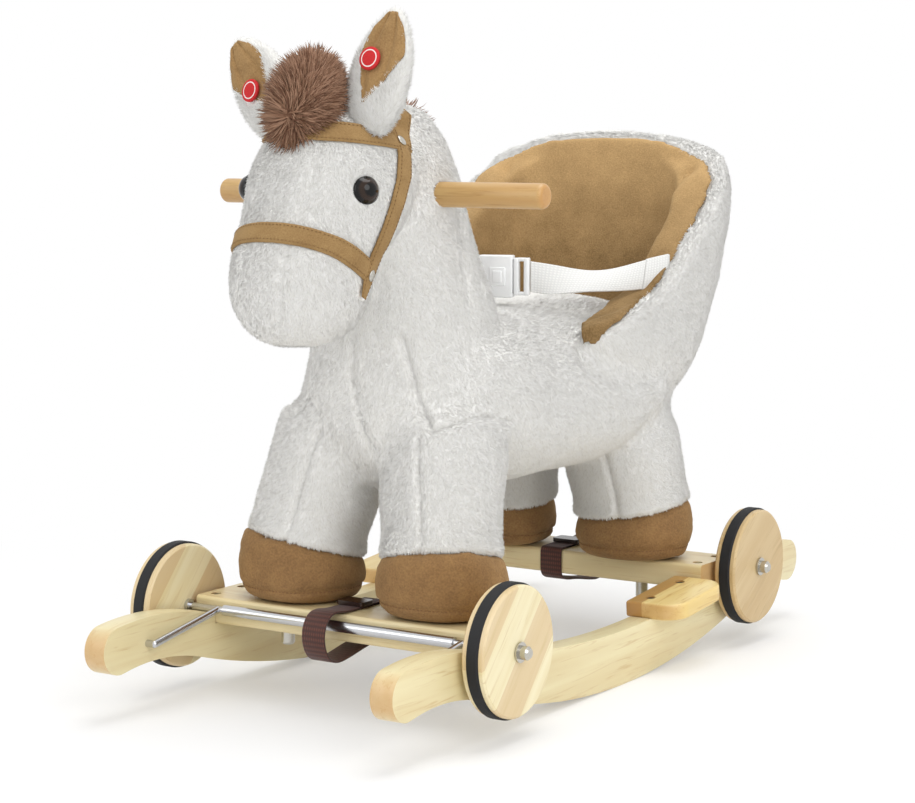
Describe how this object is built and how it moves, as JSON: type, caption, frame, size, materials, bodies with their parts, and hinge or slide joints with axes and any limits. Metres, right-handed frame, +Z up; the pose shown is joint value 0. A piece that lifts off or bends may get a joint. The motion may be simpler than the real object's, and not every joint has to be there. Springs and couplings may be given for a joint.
{
  "type": "ride-on rocking horse on wheels",
  "caption": "Stuffed rocking horse on curved wooden rockers, with fold-down wheel carriages, a handle dowel, footrests, a padded bucket seat and a lap belt.",
  "frame": {"origin": "on the floor under the middle of the rockers", "axes": "+Z up, +Y to the rear along the rockers, +X to the horse's left"},
  "size_m": [0.3608, 0.68, 0.5542],
  "materials": {
    "pine": "clear lacquered pine",
    "plated_steel": "bright plated",
    "rubber_band": "matte",
    "white_plush": "short pile plush",
    "tan_suede": "faux suede",
    "brown_fur": "long pile fur",
    "brown_webbing": "ribbed webbing",
    "white_webbing": "woven webbing",
    "clear_plastic": "milky gloss",
    "black_plastic": "gloss",
    "red_patch": "felt patch"
  },
  "bodies": {
    "frame": {"rocker_left": "pine", "rocker_right": "pine", "front_crossbar": "pine", "rear_crossbar": "pine", "footrest_left": "pine", "footrest_right": "pine", "wood_screws": "plated_steel", "leg_bolts": "plated_steel", "leg_cap_nuts": "plated_steel", "leg_posts": "pine", "seat_board": "pine", "neck_board": "pine", "back_panel": "pine", "handle_bar": "pine", "body": "white_plush", "neck": "white_plush", "head": "white_plush", "front_left_leg": "white_plush", "front_right_leg": "white_plush", "rear_left_leg": "white_plush", "rear_right_leg": "white_plush", "hooves": "tan_suede", "left_ear": "white_plush", "right_ear": "white_plush", "ear_linings": "tan_suede", "ear_sound_pucks": "black_plastic", "forelock": "brown_fur", "mane": "brown_fur", "tail": "brown_fur", "eyes": "black_plastic", "headstall": "tan_suede", "noseband": "tan_suede", "bridle_rivets": "plated_steel", "seat_back": "white_plush", "seat_lining": "tan_suede", "belt_left": "white_webbing", "belt_right": "white_webbing", "buckle_socket": "clear_plastic", "front_strap": "brown_webbing", "rear_strap": "brown_webbing", "strap_sliders": "black_plastic"},
    "front_carriage": {"front_axle": "plated_steel", "front_sleeve": "plated_steel", "front_cranks": "plated_steel", "front_axle_caps": "plated_steel"},
    "rear_carriage": {"rear_axle": "plated_steel", "rear_sleeve": "plated_steel", "rear_cranks": "plated_steel", "rear_axle_caps": "plated_steel"},
    "wheel_front_left": {"front_left_wheel": "pine", "front_left_tyre": "rubber_band"},
    "wheel_front_right": {"front_right_wheel": "pine", "front_right_tyre": "rubber_band"},
    "wheel_rear_left": {"rear_left_wheel": "pine", "rear_left_tyre": "rubber_band"},
    "wheel_rear_right": {"rear_right_wheel": "pine", "rear_right_tyre": "rubber_band"},
    "ear_button_left": {"left_ear_button": "red_patch"},
    "ear_button_right": {"right_ear_button": "red_patch"},
    "buckle_plug": {"buckle_tongue": "clear_plastic"}
  },
  "joints": [
    {"name": "front_carriage_swing", "type": "hinge", "parent": "frame", "child": "front_carriage", "pos_m": [0, -0.288, 0.056], "axis": [1, 0, 0], "range_deg": [0, 328], "deforming": ["front_strap"]},
    {"name": "rear_carriage_swing", "type": "hinge", "parent": "frame", "child": "rear_carriage", "pos_m": [0, 0.288, 0.056], "axis": [-1, 0, 0], "range_deg": [0, 328], "deforming": ["rear_strap"]},
    {"name": "front_left_wheel_spin", "type": "hinge", "parent": "front_carriage", "child": "wheel_front_left", "pos_m": [0, -0.207, 0.07], "axis": [1, 0, 0], "continuous": true},
    {"name": "front_right_wheel_spin", "type": "hinge", "parent": "front_carriage", "child": "wheel_front_right", "pos_m": [0, -0.207, 0.07], "axis": [1, 0, 0], "continuous": true},
    {"name": "rear_left_wheel_spin", "type": "hinge", "parent": "rear_carriage", "child": "wheel_rear_left", "pos_m": [0, 0.207, 0.07], "axis": [1, 0, 0], "continuous": true},
    {"name": "rear_right_wheel_spin", "type": "hinge", "parent": "rear_carriage", "child": "wheel_rear_right", "pos_m": [0, 0.207, 0.07], "axis": [1, 0, 0], "continuous": true},
    {"name": "left_ear_press", "type": "slide", "parent": "frame", "child": "ear_button_left", "axis": [-0.0226, 0.9659, -0.2578], "range_m": [0, 0.0013], "stiffness_N_per_m": 600, "springref_m": -0.0005},
    {"name": "right_ear_press", "type": "slide", "parent": "frame", "child": "ear_button_right", "axis": [0.1732, 0.9659, -0.1923], "range_m": [0, 0.0013], "stiffness_N_per_m": 600, "springref_m": -0.0005},
    {"name": "buckle_release", "type": "slide", "parent": "frame", "child": "buckle_plug", "axis": [0.9483, 0.3175, 0], "range_m": [0, 0.025], "deforming": ["belt_left"]}
  ]
}
